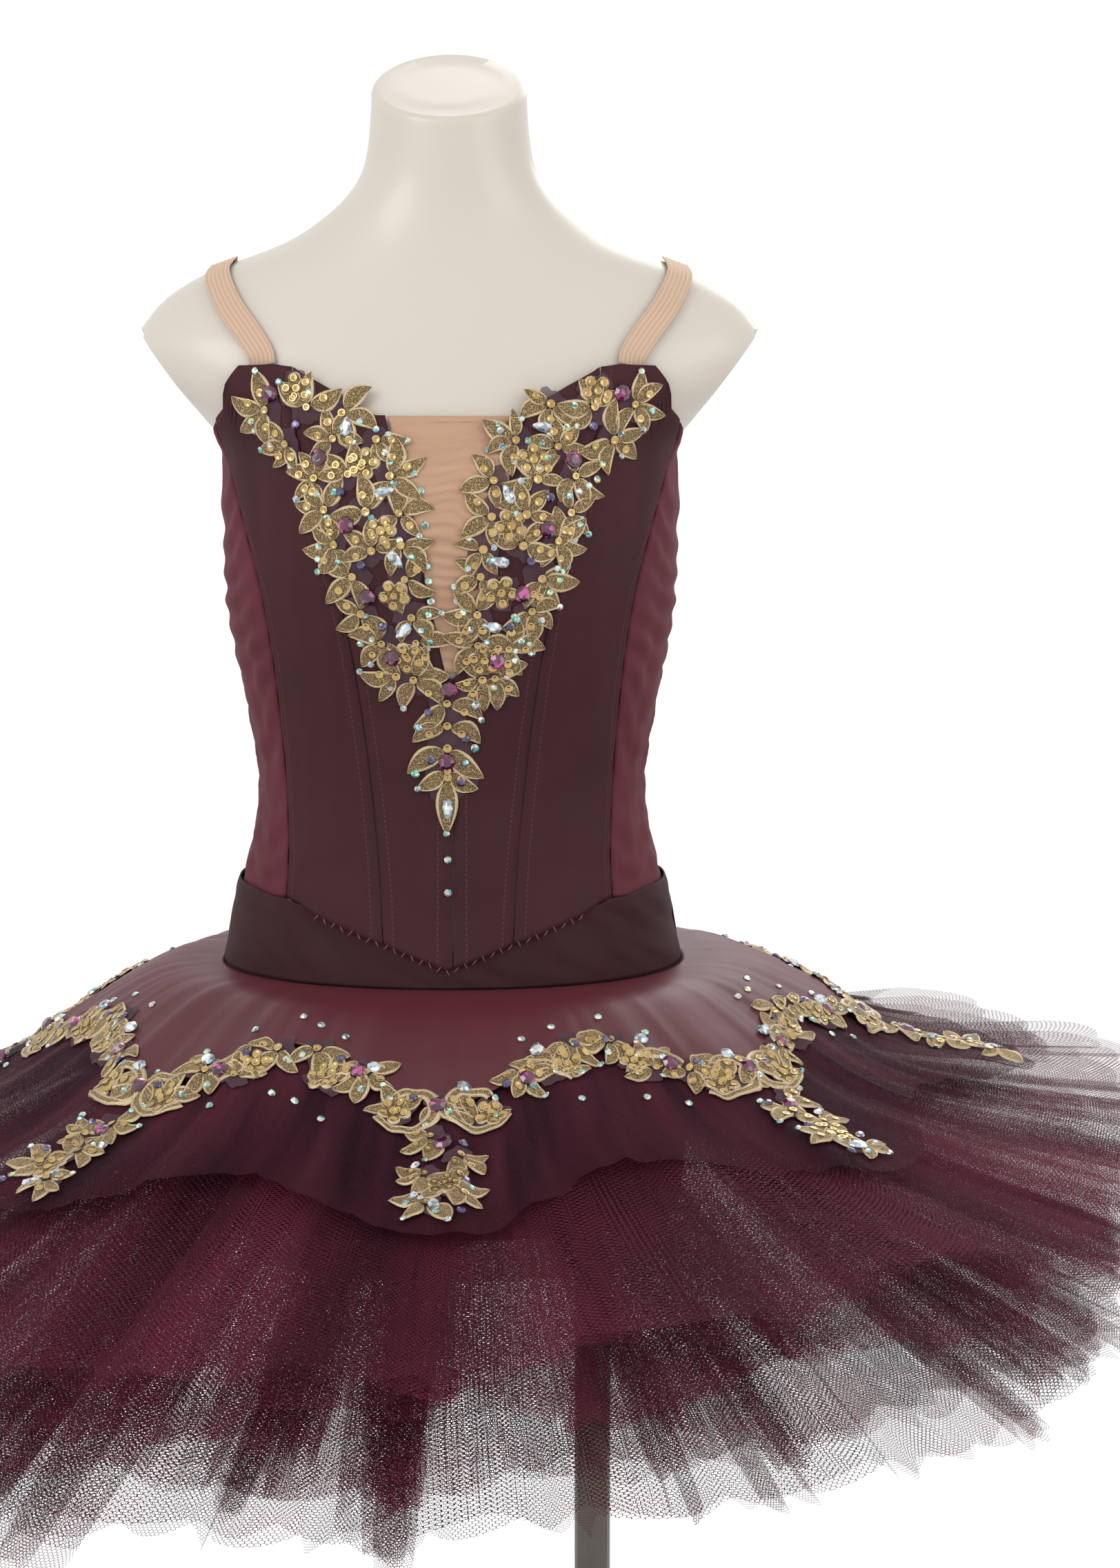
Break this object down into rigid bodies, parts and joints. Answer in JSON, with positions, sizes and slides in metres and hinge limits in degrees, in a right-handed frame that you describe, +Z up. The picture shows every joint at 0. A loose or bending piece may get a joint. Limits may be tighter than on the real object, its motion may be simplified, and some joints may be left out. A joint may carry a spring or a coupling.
{
  "type": "classical ballet tutu on a limbless dress form with a stand",
  "caption": "Pancake tutu with boned bodice, straps, nude V insert, hip yoke, satin plate, lace motifs and layered net, on a limbless bust form with pole and round base.",
  "frame": {"origin": "centre of the base's underside, on the floor under the middle of the torso", "axes": "+Z up, -Y the wearer's front, +X the wearer's left"},
  "size_m": [0.95, 0.95, 1.5235],
  "materials": {
    "form_gloss": "polished cream gloss",
    "chrome": "polished, dark reflections",
    "painted_steel": "cream enamel",
    "bodice_dark": "matt stretch weave",
    "bodice_side": "shirred stretch weave",
    "nude_mesh": "gathered fine stretch mesh",
    "nude_elastic": "ribbed elastic",
    "basque_cloth": "matt stretch weave",
    "satin": "soft satin",
    "plum_net": "stiff fine net",
    "burgundy_net": "stiff hexagonal net",
    "gold_lace": "metallic corded lace with sequins"
  },
  "bodies": {
    "root": {"form_torso": "form_gloss", "form_fixing_plate": "chrome", "stand_pole": "chrome", "stand_collar": "chrome", "stand_base": "painted_steel", "bodice_front_l": "bodice_dark", "bodice_front_r": "bodice_dark", "bodice_cup_l": "bodice_dark", "bodice_cup_r": "bodice_dark", "bodice_side_l": "bodice_side", "bodice_side_r": "bodice_side", "bodice_back_l": "bodice_side", "bodice_back_r": "bodice_side", "bodice_insert": "nude_mesh", "strap_l": "nude_elastic", "strap_r": "nude_elastic", "basque_front": "basque_cloth", "basque_back": "basque_cloth", "knickers": "basque_cloth", "plate_satin": "satin", "plate_net": "plum_net", "net_1": "burgundy_net", "net_2": "burgundy_net", "net_3": "burgundy_net", "net_4": "burgundy_net", "lace_neck_l": "gold_lace", "lace_neck_r": "gold_lace", "lace_stomacher": "gold_lace", "lace_point_1": "gold_lace", "lace_point_2": "gold_lace", "lace_point_3": "gold_lace", "lace_point_4": "gold_lace", "lace_point_5": "gold_lace", "lace_point_6": "gold_lace", "lace_point_7": "gold_lace", "lace_point_8": "gold_lace"}
  },
  "joints": []
}
